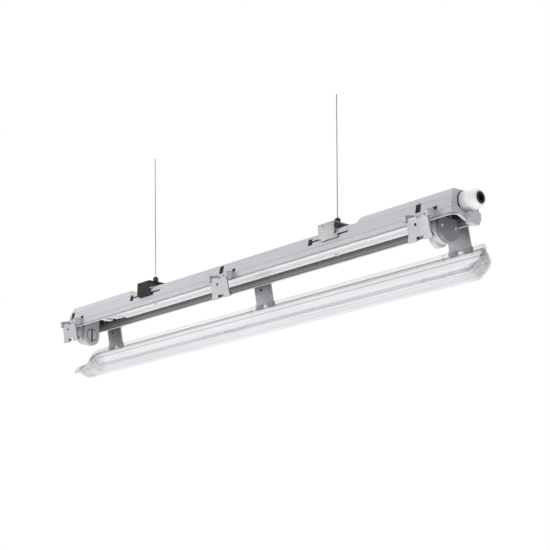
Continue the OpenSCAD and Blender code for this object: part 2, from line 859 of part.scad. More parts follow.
// Bead in the hooks of a clip, its web, and a tick at each end of the seat
module cover_seat(x, s) {
  y0 = s > 0 ? cover_flange_half - over : -bead_y;
  y1 = s > 0 ? bead_y : over - cover_flange_half;
  block([x - bead_len / 2, y0, -bead_z - web_t / 2], [x + bead_len / 2, y1, web_t / 2 - bead_z]);
  translate([x - bead_len / 2, s * bead_y, -bead_z]) rotate([0, 90, 0])
    cylinder(h = bead_len, r = bead_r);
  for (e = [-1, 1]) translate([x + e * (bead_len / 2 + tick_len), 0, 0])
    block([-tick_t / 2, s > 0 ? y0 : -cover_flange_half - tick_out, -cover_flange_t - gap],
      [tick_t / 2, s > 0 ? cover_flange_half + tick_out : y1, -gap]);
}

module cover() {
  color([0.86, 0.89, 0.9, 0.45]) at_seam()
    translate([0, bead_y, -bead_z]) rotate([clip_lean, 0, 0]) translate([0, 0, -clip_travel])
      rotate([cover_tilt - clip_lean, 0, 0]) translate([0, -bead_y, bead_z]) closed_cover();
}

module bracket(s) {
  x0 = bracket_x(s) - bracket_w / 2;
  x1 = x0 + bracket_w;
  inner = bracket_half - bracket_t;
  reach = side_y((slot_low + slot_high) / 2) - slot_depth + gap;
  color([0.72, 0.73, 0.74]) at_seam() difference() {
    union() {
      block([x0, -bracket_half, bracket_top - bracket_t], [x1, bracket_half, bracket_top]);
      for (side = [-1, 1]) {
        block([x0, side > 0 ? inner : -bracket_half, leg_low],
          [x1, side > 0 ? bracket_half : -inner, bracket_top]);
        block([x0, side > 0 ? reach : -inner - bracket_t / 2, leg_low],
          [x1, side > 0 ? inner + bracket_t / 2 : -reach, leg_low + tongue_t]);
        block([bracket_x(s) - tab_back, side > 0 ? inner : -bracket_half, tab_low],
          [bracket_x(s) + tab_ahead, side > 0 ? bracket_half : -inner, leg_low + tongue_t]);
      }
    }
    translate([s * wire_pitch / 2, 0, bracket_top - bracket_t - over])
      cylinder(h = bracket_t + 2 * over, r = stud_r + fixed_gap);
    translate([s * wire_pitch / 2, bracket_half + over, bracket_top - sight_drop]) rotate([90, 0, 0])
      cylinder(h = 2 * bracket_half + 2 * over, r = sight_r);
  }
}

module bracket_left() { bracket(-1); }
module bracket_right() { bracket(1); }

module gripper(s) {
  color([0.18, 0.18, 0.17]) at_seam() translate([s * wire_pitch / 2, 0, bracket_top]) difference() {
    union() {
      cylinder(h = gripper_h, r = gripper_r);
      cylinder(h = gripper_foot_h, r = gripper_foot_r);
      translate([0, 0, -stud_len]) cylinder(h = stud_len, r = stud_r);
    }
    translate([0, 0, -stud_len - over]) cylinder(h = stud_len + 2 * over, r = wire_d / 2 - fixed_gap);
    cylinder(h = gripper_h + over, r = gripper_bore_r);
    translate([0, 0, gripper_h - plunger_well]) cylinder(h = plunger_well + over, r = plunger_r + gap);
  }
}

module gripper_nut(s) {
  color([0.7, 0.71, 0.72]) at_seam()
    translate([s * wire_pitch / 2, 0, bracket_top - bracket_t - nut_h]) difference() {
      cylinder(h = nut_h, r = nut_r, $fn = 6);
      translate([0, 0, -over]) cylinder(h = nut_h + 2 * over, r = stud_r + fixed_gap);
    }
}

module plunger(s) {
  color([0.3, 0.3, 0.29]) at_seam()
    translate([s * wire_pitch / 2, 0, bracket_top + gripper_h - plunger_in]) difference() {
      cylinder(h = plunger_in + plunger_out, r = plunger_r);
      translate([0, 0, -over]) cylinder(h = plunger_in + plunger_out + 2 * over, r = gripper_bore_r);
    }
}

module gripper_left() { gripper(-1); }
module gripper_right() { gripper(1); }
module gripper_nut_left() { gripper_nut(-1); }
module gripper_nut_right() { gripper_nut(1); }
module plunger_left() { plunger(-1); }
module plunger_right() { plunger(1); }

module wire_left() {
  color([0.6, 0.6, 0.6]) tube(stepped(wire_left_path, wire_ring * wire_d), [0, 1, 0], wire_d / 2, 8);
}

module wire_right() {
  color([0.6, 0.6, 0.6]) tube(stepped(wire_right_path, wire_ring * wire_d), [0, 1, 0], wire_d / 2, 8);
}

// Places the gland's own frame: origin where its axis meets the end wall, +Z outwards
module at_gland() {
  at_seam() translate([body_r, 0, gland_z]) rotate([0, 90, 0]) children();
}

module pipe(z0, z1, outer, inner) {
  translate([0, 0, z0]) difference() {
    cylinder(h = z1 - z0, r = outer);
    translate([0, 0, -over]) cylinder(h = z1 - z0 + 2 * over, r = inner);
  }
}

module gland_body() {
  collar = washer_t + collar_t;
  color([0.9, 0.9, 0.88]) at_gland() {
    pipe(-gland_in, washer_t + over, thread_r, gland_bore_r);
    pipe(washer_t, collar, collar_r, gland_bore_r);
    pipe(collar - over, collar + gland_neck_len, neck_r, gland_bore_r);
  }
}

module gland_washer() {
  color([0.12, 0.12, 0.12]) at_gland() pipe(0, washer_t, washer_r, thread_r + fixed_gap);
}

module gland_locknut() {
  color([0.88, 0.88, 0.86]) at_gland()
    pipe(-wall - locknut_t, -wall, locknut_r, thread_r + fixed_gap);
}

module gland_dome_nut() {
  bore = neck_r + gap;
  bore_end = washer_t + collar_t + gland_neck_len + neck_gap;
  color([0.94, 0.94, 0.92]) at_gland() rotate_extrude($fn = 72)
    polygon([[bore, dome_start], [dome_r, dome_start], [dome_r, dome_start + dome_straight],
      [dome_r - edge_r / 4, dome_start + dome_straight + edge_r],
      [dome_nose_r + edge_r / 2, dome_start + dome_len - edge_r / 4],
      [dome_nose_r, dome_start + dome_len], [mouth_r, dome_start + dome_len],
      [mouth_r, bore_end], [bore, bore_end]]);
}

module gland_seal() {
  color([0.08, 0.08, 0.08]) at_gland()
    pipe(seal_start, dome_start + dome_len + seal_proud, seal_r, cable_r);
}

housing();
gasket();
gear_tray();
tray_screws();
terminal_block();
terminal_screws();
wire_clamp();
leads_left();
leads_right();
lampholder_left_body();
lampholder_left_rotor();
lampholder_left_contacts();
lampholder_left_back();
lampholder_left_rivets();
lampholder_right_body();
lampholder_right_rotor();
lampholder_right_contacts();
lampholder_right_back();
lampholder_right_rivets();
near_clip_left();
near_clip_middle();
near_clip_right();
far_clip_left();
far_clip_middle();
far_clip_right();
cover();
bracket_left();
gripper_left();
gripper_nut_left();
plunger_left();
bracket_right();
gripper_right();
gripper_nut_right();
plunger_right();
wire_left();
wire_right();
gland_body();
gland_washer();
gland_locknut();
gland_dome_nut();
gland_seal();
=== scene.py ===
"""Looks of the hanging shop light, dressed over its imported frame. Metres, +X towards the gland, +Z up."""
import math

import bmesh
import bpy
import numpy as np
from mathutils import Matrix, Vector


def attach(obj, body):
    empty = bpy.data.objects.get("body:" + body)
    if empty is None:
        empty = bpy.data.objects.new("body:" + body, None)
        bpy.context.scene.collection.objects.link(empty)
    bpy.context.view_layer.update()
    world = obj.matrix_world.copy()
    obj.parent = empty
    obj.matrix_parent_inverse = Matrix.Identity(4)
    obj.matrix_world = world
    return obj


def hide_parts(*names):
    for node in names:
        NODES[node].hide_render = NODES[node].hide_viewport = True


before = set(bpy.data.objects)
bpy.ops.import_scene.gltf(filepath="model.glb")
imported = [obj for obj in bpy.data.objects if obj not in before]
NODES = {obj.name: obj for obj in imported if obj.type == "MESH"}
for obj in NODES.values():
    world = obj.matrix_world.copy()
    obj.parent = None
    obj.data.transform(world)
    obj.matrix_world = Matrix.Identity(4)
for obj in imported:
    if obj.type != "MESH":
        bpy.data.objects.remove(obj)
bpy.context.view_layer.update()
scene = bpy.context.scene

# Camera, fitted to the photograph: focal length in pixels of its frame, angles, and place in the fit's axes
PHOTO_PX = 550.0
FOCAL_PX = 1347.69
SENSOR_MM = 36.0
YAW, PITCH, ROLL = (math.radians(a) for a in (47.553, 14.724, 0.937))
SHIFT = Vector((-0.03915, 0.01385, 1.54594))
FRAME_TO_FIT = Vector((-0.001, 0.0, 0.0447))


def make_camera():
    """The fitted view as Blender's camera: its axes from the angles, its place from the fit's shift"""
    forward = Vector((-math.sin(YAW) * math.cos(PITCH), math.cos(YAW) * math.cos(PITCH), math.sin(PITCH)))
    level = Vector((math.cos(YAW), math.sin(YAW), 0.0))
    low = forward.cross(level)
    right = math.cos(ROLL) * level + math.sin(ROLL) * low
    down = -math.sin(ROLL) * level + math.cos(ROLL) * low
    data = bpy.data.cameras.new("camera")
    data.sensor_fit = "HORIZONTAL"
    data.sensor_width = SENSOR_MM
    data.lens = FOCAL_PX / PHOTO_PX * SENSOR_MM
    data.clip_start, data.clip_end = 0.05, 50.0
    camera = bpy.data.objects.new("camera", data)
    turn = Matrix((right, -down, -forward)).transposed().to_4x4()
    turn.translation = -(right * SHIFT.x + down * SHIFT.y + forward * SHIFT.z) - FRAME_TO_FIT
    camera.matrix_world = turn
    scene.collection.objects.link(camera)
    scene.camera = camera


make_camera()

# Surfaces are grids of points, worked out as arrays
WELD = 1e-7
HERE = Matrix.Identity(4)


def skin(points, closed=False):
    """Quads between neighbouring sections of a grid of points, and flat faces on its ends unless it closes"""
    rows, cols = points.shape[:2]
    i, j = np.meshgrid(np.arange(rows if closed else rows - 1), np.arange(cols), indexing="ij")
    k, m = (i + 1) % rows, (j + 1) % cols
    quads = np.stack([i * cols + j, i * cols + m, k * cols + m, k * cols + j], axis=-1)
    quads = quads.reshape(-1, 4).tolist()
    if not closed:
        quads += [list(range(cols))[::-1], list(range((rows - 1) * cols, rows * cols))]
    return points.reshape(-1, 3), quads


def add_object(name, shape, place=HERE):
    """An object at the origin, its place worked into its points; doubles merged, faces turned outwards"""
    points, faces = shape
    matrix = np.array(place)
    mesh = bpy.data.meshes.new(name)
    mesh.from_pydata((points @ matrix[:3, :3].T + matrix[:3, 3]).tolist(), [], faces)
    work = bmesh.new()
    work.from_mesh(mesh)
    bmesh.ops.remove_doubles(work, verts=work.verts, dist=WELD)
    bmesh.ops.recalc_face_normals(work, faces=work.faces)
    work.to_mesh(mesh)
    work.free()
    made = bpy.data.objects.new(name, mesh)
    scene.collection.objects.link(made)
    return made


# Hanging wires, on the routes of their solids: from inside the gripper, out of its top, up to the bare end
WIRE_D = 0.0012
WIRE_POINTS, WIRE_SIDES = 24, 12
ROUTES = {
    "wire_left": [(-0.160, 0, -0.0142), (-0.160, 0, 0), (-0.163, 0, 0.1558)],
    "wire_right": [(0.160, 0, -0.0142), (0.160, 0, 0), (0.164, 0, 0.1408)],
}


def make_wire(node, body):
    """Level rings round points at equal distances up the route: x + radius cos a, y + radius sin a"""
    route = np.array(ROUTES[node])
    run = np.concatenate([[0.0], np.cumsum(np.linalg.norm(np.diff(route, axis=0), axis=1))])
    at = np.linspace(0.0, run[-1], WIRE_POINTS)
    line = np.stack([np.interp(at, run, route[:, k]) for k in range(3)], axis=1)
    a = np.linspace(0.0, math.tau, WIRE_SIDES, endpoint=False)
    ring = WIRE_D / 2 * np.stack([np.cos(a), np.sin(a), np.zeros(WIRE_SIDES)], axis=1)
    strand = add_object(node + "_strand", skin(line[:, None] + ring[None]))
    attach(strand, body)
    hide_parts(node)
    return strand


wires = [make_wire("wire_left", "bracket_left"), make_wire("wire_right", "bracket_right")]


# Shader values as Python expressions
class Tone:
    """One socket of a shader: arithmetic on it adds the Math nodes that it needs"""

    def __init__(self, sheet, out):
        self.sheet, self.out = sheet, out

    def math(self, operation, *others):
        return self.sheet.node("Math", {"operation": operation}, (self, *others))

    def __add__(self, other):
        return self.math("ADD", other)

    def __sub__(self, other):
        return self.math("SUBTRACT", other)

    def __rsub__(self, other):
        return self.sheet.node("Math", {"operation": "SUBTRACT"}, (other, self))

    def __mul__(self, other):
        return self.math("MULTIPLY", other)

    def __abs__(self):
        return self.math("ABSOLUTE")

    def __lt__(self, other):
        return self.math("LESS_THAN", other)

    def __gt__(self, other):
        return self.math("GREATER_THAN", other)

    def __or__(self, other):
        return self.math("MAXIMUM", other)

    def __and__(self, other):
        return self.math("MINIMUM", other)

    __radd__ = __add__
    __rmul__ = __mul__


class Sheet:
    """Node tree of a material or of the world"""

    def __init__(self, tree):
        self.tree = tree

    def node(self, kind, settings=None, sockets=(), out=0):
        """A node of a kind: its settings first, then the values or links of its sockets"""
        made = self.tree.nodes.new("ShaderNode" + kind)
        for name, value in (settings or {}).items():
            setattr(made, name, value)
        for key, value in sockets.items() if isinstance(sockets, dict) else enumerate(sockets):
            if isinstance(value, Tone):
                self.tree.links.new(value.out, made.inputs[key])
            else:
                made.inputs[key].default_value = value
        return Tone(self, made.outputs[out]) if made.outputs else made

    def scaled(self, value, low, high, to_low=0.0, to_high=1.0):
        """A value's place between two limits, held to them, on another scale"""
        return self.node("MapRange", {}, {"Value": value, "From Min": low, "From Max": high,
                                          "To Min": to_low, "To Max": to_high})

    def blend(self, share, first, second):
        """Colour between two colours"""
        first, second = ((*c, 1.0) if isinstance(c, tuple) else c for c in (first, second))
        return self.node("Mix", {"data_type": "RGBA"}, {0: share, 6: first, 7: second}, 2)


class Paint(Sheet):
    """A material on one principled shader, with patterns on Object coordinates"""

    def __init__(self, name, **plain):
        self.mat = bpy.data.materials.new(name)
        self.mat.use_nodes = True
        super().__init__(self.mat.node_tree)
        self.shader = next(n for n in self.tree.nodes if n.type == "BSDF_PRINCIPLED")
        for key, value in plain.items():
            self.shader.inputs[key.replace("_", " ")].default_value = value

    def feed(self, **sockets):
        for key, value in sockets.items():
            self.tree.links.new(value.out, self.shader.inputs[key.replace("_", " ")])

    def place(self, **mapping):
        return self.node("Mapping", {}, {"Vector": self.node("TexCoord", {}, (), "Object"), **mapping})

    def axes(self, **mapping):
        """X, Y and Z of the piece, turned and moved into a part's own axes"""
        split = self.node("SeparateXYZ", {}, (self.place(**mapping),))
        return [Tone(self, out) for out in split.out.node.outputs]

    def noise(self, scale, stretch=(1, 1, 1), detail=3.0, rough=0.5):
        return self.node("TexNoise", {}, {"Vector": self.place(Scale=stretch), "Scale": scale,
                                          "Detail": detail, "Roughness": rough})

    def band(self, axis, at, half, soft):
        """One within a half width of a place on an axis, none beyond it"""
        return self.scaled(abs(axis - at), half, half + soft, 1.0, 0.0)

    def bands(self, axis, places, soft):
        """Several bands on one axis, each a place and a half width"""
        first, *rest = (self.band(axis, at, half, soft) for at, half in places)
        for other in rest:
            first = first | other
        return first

    def relief(self, height, strength, distance, **under):
        return self.node("Bump", {}, {"Height": height, "Strength": strength, "Distance": distance, **under})

    def grained(self, grain):
        """Fine grain under a shallow waviness"""
        fine = self.relief(self.noise(2600.0, detail=2.0), grain, 0.00012)
        return self.relief(self.noise(60.0, detail=2.0), grain * 0.5, 0.0004, Normal=fine)


# Heights and places that patterns and pieces share
SEAM_Z = -0.0417
CREASE_Z = SEAM_Z + 0.020
BODY_MID_X = 0.011

# Housing: painted shade lines at the crease, the ledge and the seam; each line is a height and half the
# line's width
SIDE_SHADE_LINES = [(CREASE_Z, 0.00018), (SEAM_Z + 0.0082, 0.00016), (SEAM_Z + 0.0071, 0.00022)]
SEAM_SHADE_LINE = (SEAM_Z + 0.0007, 0.0006)
LINE_SOFT = 0.0002
SIDE_FROM_Y = (0.0165, 0.0175)
CREASE_SOFT = 0.0006

# Hollow of the housing: half width by height, roof by distance from the middle, ends, shade by height
HOLLOW_WALL = (SEAM_Z + 0.0065, SEAM_Z + 0.0275, 0.0211, 0.0168)
HOLLOW_ROOF = (0.1995, 0.2015, SEAM_Z + 0.0219, SEAM_Z + 0.0264)
HOLLOW_END_X = 0.3229
HOLLOW_SHADE = (SEAM_Z + 0.0010, SEAM_Z + 0.0090, 0.02, 0.95)

# Tray: place and half width of the band of painted shade each side of its middle
TRAY_SHADE_Y = (0.0012, 0.0042)

# Cover, in the closed cover's own axes: dark lines of painted reflection as a place and half a width, ticks
# of painted reflection beside each clip seat
COVER_MID_X = 0.0075
COVER_END_X = (0.310, 0.331)
COVER_BRIM_Y = (0.0212, 0.0216)
COVER_REFLECTION_Y = (0.002, 0.008)
COVER_RIM_LINE = (-0.0037, 0.00035)
COVER_LINES_Z = [(-0.0052, 0.00018), (-0.0090, 0.00020)]
COVER_LINES_Y = [(0.0060, 0.00020), (0.0125, 0.00022)]
TICK_OFF, TICK_HALF_GAP, TICK_HALF_W = 0.01795, 0.00085, 0.00012
TICK_FOOT, TICK_INSIDE_Y = -0.0085, 0.019

# Clips: their places along the housing
NEAR, FAR = -1, 1
WORD = {NEAR: "near", FAR: "far"}
CLIP_X = {NEAR: {"left": -0.3035, "middle": -0.002, "right": 0.2995},
          FAR: {"left": -0.2875, "middle": 0.006, "right": 0.2995}}

# The open cover: turned about its far bead, which lies in the far clips at the foot of their slide
TILT, LEAN, DROP = math.radians(43), math.radians(10), 0.018
BEAD = Vector((0, 0.027, -0.0015))
COVER_TO_FRAME = (Matrix.Translation((0, 0, SEAM_Z)) @ Matrix.Translation(BEAD)
                  @ Matrix.Rotation(LEAN, 4, "X") @ Matrix.Translation((0, 0, -DROP))
                  @ Matrix.Rotation(TILT - LEAN, 4, "X") @ Matrix.Translation(-BEAD))
FRAME_TO_COVER = COVER_TO_FRAME.inverted()


def moulded(name, light, dark, rough, grain=0.15):
    """Moulded plastic or enamel: slow change of tone, fine grain, shallow waviness"""
    p = Paint(name)
    p.feed(Base_Color=p.blend(p.scaled(p.noise(9.0, detail=4.0), 0.3, 0.7), light, dark),
           Roughness=p.scaled(p.noise(160.0), 0.3, 0.7, rough - 0.05, rough + 0.07),
           Normal=p.grained(grain))
    return p.mat


def housing_plastic(name, light, dark, shade, rough, grain):
    """Grey moulding: painted highlight under the top edges, painted shade lines along the sides, painted
    shade in the hollow
    """
    p = Paint(name)
    x, y, z = p.axes()
    out_y, out_x = abs(y), abs(x - BODY_MID_X)
    on_side = p.scaled(out_y, *SIDE_FROM_Y)
    # painted highlight: the sides above the crease made lighter
    painted_top_highlight = p.scaled(z, CREASE_Z - CREASE_SOFT, CREASE_Z + CREASE_SOFT) * on_side * 0.25
    # painted shade: dark lines at the crease, the ledge and the seam
    lines = (p.bands(z, SIDE_SHADE_LINES, 0.00012) * 0.5 | p.band(z, *SEAM_SHADE_LINE, LINE_SOFT) * 0.8) * on_side
    wall = p.scaled(z, *HOLLOW_WALL)
    roof = p.scaled(out_x, *HOLLOW_ROOF)
    hollow = (out_y < wall) * (z < roof) * (out_x < HOLLOW_END_X)
    depth = p.scaled(z, *HOLLOW_SHADE)
    tone = p.blend(p.scaled(p.noise(9.0, detail=4.0), 0.3, 0.7), light, dark)
    tone = p.blend(painted_top_highlight, tone, tuple(c * 1.22 for c in light))
    tone = p.blend(hollow * depth, tone, shade)
    p.feed(Base_Color=p.blend(lines, tone, tuple(c * 0.38 for c in dark)),
           Roughness=p.scaled(p.noise(160.0), 0.3, 0.7, rough - 0.05, rough + 0.07),
           Normal=p.grained(grain))
    return p.mat


def tray_enamel(name, light, dark, rough):
    """White enamel, with a band of painted shade along the flat underside"""
    p = Paint(name)
    # painted shade: a band along the underside blended half way to grey
    shade_band = p.band(p.axes()[1], *TRAY_SHADE_Y, 0.0015)
    tone = p.blend(p.scaled(p.noise(9.0, detail=4.0), 0.3, 0.7), light, dark)
    p.feed(Base_Color=p.blend(shade_band * 0.5, tone, (0.42, 0.42, 0.42)),
           Roughness=p.scaled(p.noise(160.0), 0.3, 0.7, rough - 0.05, rough + 0.07),
           Normal=p.relief(p.noise(90.0, detail=2.0), 0.05, 0.0003))
    return p.mat


def brushed(name, light, dark, rough, stretch=(1, 1, 14), metallic=1.0):
    """Rolled steel: fine streaks one way, slow patches of haze"""
    p = Paint(name, Metallic=metallic)
    streak = p.noise(420.0, stretch, detail=4.0, rough=0.6)
    haze = p.noise(34.0, detail=5.0)
    tone = p.blend(p.scaled(streak, 0.3, 0.7), light, dark)
    p.feed(Base_Color=p.blend(p.scaled(haze, 0.45, 0.75, 0.0, 0.5), tone, dark),
           Roughness=p.scaled(haze, 0.3, 0.75, rough - 0.06, rough + 0.12),
           Normal=p.relief(streak, 0.12, 0.0001))
    return p.mat


def rubber(name, light, dark):
    """Matt soft rubber or foam"""
    p = Paint(name, Specular_IOR_Level=0.2)
    p.feed(Base_Color=p.blend(p.scaled(p.noise(40.0, detail=4.0), 0.35, 0.7), light, dark),
           Roughness=p.scaled(p.noise(300.0), 0.3, 0.7, 0.55, 0.75),
           Normal=p.relief(p.noise(1500.0), 0.2, 0.0001))
    return p.mat


def from_clips(x, side):
    """Distance along X from the nearest clip of a side"""
    first, second, third = (abs(x - at) for at in CLIP_X[side].values())
    return first & second & third


def clear_moulding(name):
    """Clear plastic: drawn streaks; ribs, a rim line and ticks by the clips as dark lines of painted
    reflection; denser ends; a painted reflection on the hinged wall as denser plastic
    """
    p = Paint(name, IOR=1.49)
    x, y, z = p.axes(Rotation=tuple(FRAME_TO_COVER.to_euler("XYZ")),
                     Location=tuple(FRAME_TO_COVER.translation))
    flow = p.noise(60.0, (0.05, 1, 1))
    streak = p.scaled(p.noise(900.0, (0.012, 1, 1), detail=2.0, rough=0.7), 0.60, 0.70)
    end = p.scaled(abs(x - COVER_MID_X), *COVER_END_X)
    # painted reflection: dark lines where the ribs and the rim of the clear plastic would look dark
    lines = p.bands(z, COVER_LINES_Z, LINE_SOFT) | p.bands(abs(y), COVER_LINES_Y, LINE_SOFT)
    rim_line = p.band(z, *COVER_RIM_LINE, LINE_SOFT)
    near = y < 0.0
    away = near * from_clips(x, NEAR) + (1 - near) * from_clips(x, FAR)
    # painted reflection: dark ticks at the edges of each clip seat
    ticks = p.band(abs(away - TICK_OFF), TICK_HALF_GAP, TICK_HALF_W, LINE_SOFT)
    ticks = ticks * (z > TICK_FOOT) * (abs(y) > TICK_INSIDE_Y)
    tone = p.blend(p.scaled(flow, 0.3, 0.7), (0.72, 0.74, 0.78), (0.60, 0.63, 0.67))
    tone = p.blend(streak * 0.5, tone, (0.40, 0.42, 0.45))
    tone = p.blend(end * 0.6, tone, (0.36, 0.37, 0.39))
    # painted reflection: the hinged wall made denser, for the light that its inside face reflects
    hinged_wall_reflection = p.scaled(y, *COVER_REFLECTION_Y) * (z < COVER_RIM_LINE[0])
    brim = p.scaled(abs(y), *COVER_BRIM_Y)
    dense = p.scaled(flow, 0.3, 0.75, 0.10, 0.20) * (1 + hinged_wall_reflection * 0.85)
    dense = dense + streak * 0.05 + end * 0.13
    p.feed(Base_Color=p.blend(lines | rim_line | ticks, tone, (0.16, 0.17, 0.18)),
           Roughness=p.scaled(p.noise(120.0, (0.1, 1, 1)), 0.3, 0.7, 0.06, 0.16),
           Alpha=dense + brim * 0.10 + lines * 0.24 + rim_line * 0.42 + ticks * 0.5,
           Normal=p.relief(p.noise(240.0, (0.04, 1, 1), detail=2.0), 0.25, 0.0004))
    return p.mat


# Finishes by a short name: two tones between which each wanders, then roughness and the rest
ACROSS = (1, 14, 1)
FINISHES = {
    "housing": housing_plastic("housing_plastic", (0.57, 0.58, 0.61), (0.51, 0.52, 0.55),
                               (0.022, 0.022, 0.026), 0.46, 0.2),
    "seal_pale": rubber("pale_foam", (0.75, 0.75, 0.72), (0.62, 0.62, 0.59)),
    "tray": tray_enamel("tray_enamel", (0.88, 0.88, 0.865), (0.84, 0.84, 0.825), 0.30),
    "screw_white": moulded("screw_enamel", (0.80, 0.80, 0.785), (0.74, 0.74, 0.725), 0.34, 0.08),
    "block": moulded("block_plastic", (0.84, 0.84, 0.82), (0.76, 0.76, 0.74), 0.42),
    "holder": moulded("holder_plastic", (0.66, 0.67, 0.68), (0.58, 0.59, 0.60), 0.36, 0.1),
    "back": moulded("back_plastic", (0.29, 0.295, 0.325), (0.24, 0.245, 0.275), 0.42, 0.1),
    "rotor": moulded("rotor_plastic", (0.68, 0.69, 0.70), (0.60, 0.61, 0.62), 0.3, 0.08),
    "gland": moulded("gland_plastic", (0.96, 0.96, 0.945), (0.93, 0.93, 0.915), 0.34, 0.12),
    # black: the gland's real washer and seal, and also the pieces of painted shade and shadow in clips, wall
    # openings and lampholders
    "black": rubber("black_rubber_and_painted_shade", (0.022, 0.022, 0.024), (0.010, 0.010, 0.011)),
    "clip": brushed("clip_sheet", (0.41, 0.415, 0.43), (0.31, 0.315, 0.33), 0.50),
    # far_clip: a darker copy of the clip steel, painted shade on the far clips
    "far_clip": brushed("far_clip_shaded_steel", (0.36, 0.365, 0.375), (0.22, 0.225, 0.235), 0.46),
    "bracket": brushed("bracket_sheet", (0.31, 0.31, 0.315), (0.21, 0.21, 0.215), 0.50, ACROSS),
    # left bracket: the same steel as the right one, near black as a painted reflection of something dark
    "painted_dark_reflection": brushed("painted_dark_reflection_sheet", (0.020, 0.020, 0.014), (0.010, 0.010, 0.007), 0.42, ACROSS),
    # mark: grey for edges of the clear cover, a painted reflection
    "mark": rubber("clear_edge_painted_reflection", (0.42, 0.43, 0.45), (0.34, 0.35, 0.37)),
    # rivets in bright white: a painted highlight in place of the glint on the rivets
    "rivet": moulded("rivet_painted_glint", (0.94, 0.94, 0.94), (0.88, 0.88, 0.88), 0.22, 0.05),
    "screw": brushed("screw_zinc", (0.68, 0.68, 0.70), (0.48, 0.48, 0.50), 0.3, (1, 1, 1)),
    "brass": brushed("contact_brass", (0.78, 0.58, 0.26), (0.60, 0.42, 0.16), 0.28, (1, 1, 6)),
    "dark": brushed("gripper_blackened", (0.050, 0.050, 0.046), (0.022, 0.022, 0.020), 0.36, (1, 1, 8), 0.6),
    "wire": brushed("strand_steel", (0.34, 0.34, 0.35), (0.17, 0.17, 0.18), 0.34, (6, 6, 1)),
    "red": moulded("lead_red_cover", (0.26, 0.02, 0.025), (0.18, 0.012, 0.018), 0.4),
    "cover": clear_moulding("cover_clear_plastic"),
}

# Which finish each CAD node wears
DRESS = {
    "housing": "housing", "gasket": "seal_pale", "gear_tray": "tray", "tray_screws": "screw_white",
    "terminal_block": "block", "wire_clamp": "block", "terminal_screws": "brass", "leads_left": "red",
    "leads_right": "red", "cover": "cover", "gland_body": "gland", "gland_washer": "black",
    "gland_locknut": "gland", "gland_dome_nut": "gland", "gland_seal": "black", "bracket_left": "painted_dark_reflection",
    "bracket_right": "bracket",
}
for end in ("left", "right"):
    for part, key in (("body", "holder"), ("rotor", "rotor"), ("contacts", "brass"), ("back", "back"),
                      ("rivets", "rivet")):
        DRESS[f"lampholder_{end}_{part}"] = key
    for part, key in (("gripper", "dark"), ("gripper_nut", "screw"), ("plunger", "dark")):
        DRESS[f"{part}_{end}"] = key
for end in ("left", "middle", "right"):
    DRESS[f"near_clip_{end}"] = "clip"
    # the far clips wear the darker copy of the clip steel: painted shade
    DRESS[f"far_clip_{end}"] = "far_clip"

for node, key in DRESS.items():
    for slot in NODES[node].material_slots:
        slot.material = FINISHES[key]
for strand in wires:
    strand.data.materials.append(FINISHES["wire"])

# Small pieces: a rounded section carried along a line or round an arc
CORNER_STEPS = 4
END_TURNS = np.radians([80.0, 40.0, 0.0])
CORNERS = np.array([[1, 1], [-1, 1], [-1, -1], [1, -1]], float)


def section(half_u, half_v, r):
    """Rounded rectangle as cores and directions: a point is core + r (cos a, sin a), a once round"""
    starts = np.array([0.0, 90.0, 180.0, 270.0])
    turn = np.radians(np.linspace(0.0, 90.0, CORNER_STEPS)[None, :] + starts[:, None])
    core = np.broadcast_to(CORNERS[:, None, :] * (half_u - r, half_v - r), (4, CORNER_STEPS, 2))
    return core.reshape(-1, 2), np.stack([np.cos(turn), np.sin(turn)], axis=-1).reshape(-1, 2)


def bar_points(low, high, r):
    """Section in Y and Z carried along X; near an end x = end + r (1 - sin t), corners of r cos t"""
    low, high = np.array(low), np.array(high)
    mid, half = (low + high) / 2, (high - low) / 2
    core, way = section(half[1], half[2], r)
    x = half[0] - r * (1 - np.sin(END_TURNS))
    x = np.concatenate([-x, x[::-1]])
    grow = r * np.concatenate([np.cos(END_TURNS), np.cos(END_TURNS)[::-1]])
    yz = core[None] + grow[:, None, None] * way[None]
    return np.concatenate([np.broadcast_to(x[:, None, None], (*yz.shape[:2], 1)), yz], axis=-1) + mid


def arc_points(x0, x1, r0, r1, start, sweep, r, steps):
    """Section in X and radius carried round X: y = radius cos a, z = radius sin a"""
    core, way = section((x1 - x0) / 2, (r1 - r0) / 2, r)
    across, out = (core + r * way).T
    a = np.radians(start + sweep * np.arange(steps) / (steps if sweep == 360 else steps - 1))[:, None]
    radius = (r0 + r1) / 2 + out
    along = np.broadcast_to((x0 + x1) / 2 + across, (steps, across.size))
    return np.stack([along, radius * np.cos(a), radius * np.sin(a)], axis=-1)


def piece(name, shape, key, body, place=HERE):
    """A small piece with its finish, riding on a body"""
    made = add_object(name, shape, place)
    made.data.materials.append(FINISHES[key])
    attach(made, body)


def bar(name, low, high, r, key, body, place=HERE):
    """A small rounded bar between two corners"""
    piece(name, skin(bar_points(low, high, r)), key, body, place)


# Clips: painted shadow in the hooks and in the hole, as thin black pieces
CLIP_LEAN = {NEAR: math.radians(11), FAR: -LEAN}
CLIP_DROP = {NEAR: 0.0125, FAR: DROP}
CLIP_HALF, FOOT_W = 0.014, 0.0095
HOOK_IN, HOOK_OUT = 0.0019, 0.0037
HOOK_SHADE_INSET, HOOK_SHADE_W, HOOK_SHADE_START, HOOK_SHADE_SWEEP, HOOK_SHADE_STEPS, HOOK_SHADE_ROUND = 0.0001, 0.0013, 180, 88, 9, 0.0002
CLIP_RISE = {NEAR: 0.0187, FAR: 0.0242}
HOLE_X, HOLE_DROP = -0.003, 0.0075
HOLE_SHADE_HALF, HOLE_SHADE_CORE, HOLE_SHADE_R, HOLE_SHADE_ROUND, HOLE_SHADE_STEPS = 0.0006, 0.00005, 0.00158, 0.00002, 24


